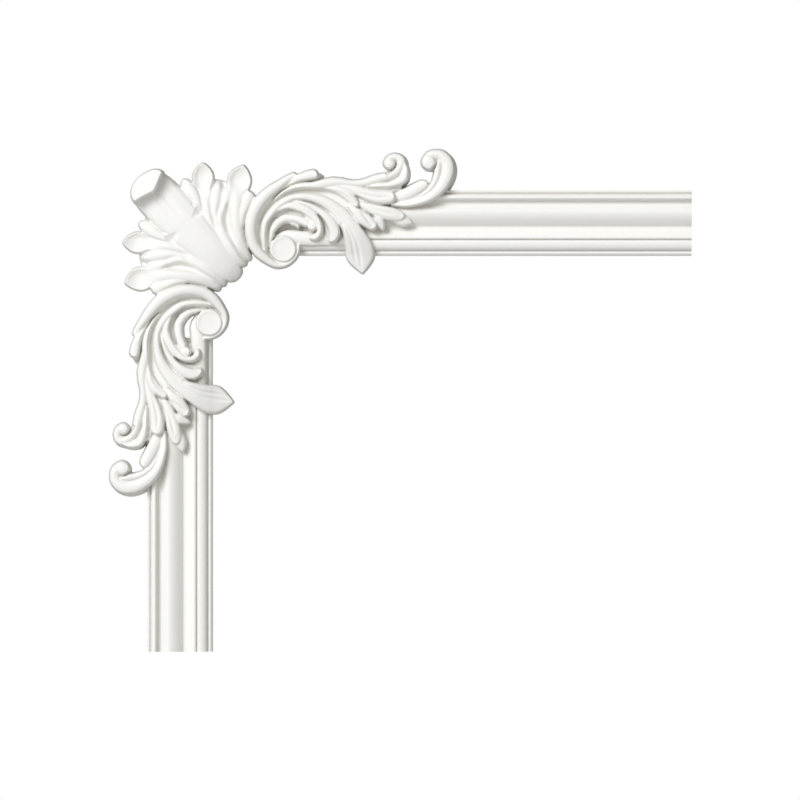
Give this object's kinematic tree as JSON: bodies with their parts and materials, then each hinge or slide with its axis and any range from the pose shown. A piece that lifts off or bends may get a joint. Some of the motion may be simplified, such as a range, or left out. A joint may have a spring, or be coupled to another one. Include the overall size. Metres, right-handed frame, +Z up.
{
  "type": "wall panel moulding corner",
  "caption": "Rococo corner for a framed wall panel: an acanthus and C-scroll ornament on the diagonal, with a square-cut stub of profiled moulding running each way from it",
  "frame": {"origin": "on the flat back, where the centre lines of the two moulding runs would cross", "axes": "+X along the top run, away from the corner; +Z up, against the side run; +Y into the wall that the flat back lies on, so the relief faces -Y"},
  "size_m": [0.5844, 0.0415, 0.5041],
  "materials": {
    "primed_white": "matte white primer on moulded polyurethane"
  },
  "bodies": {
    "root": {"corner_moulding": "primed_white"}
  },
  "joints": []
}
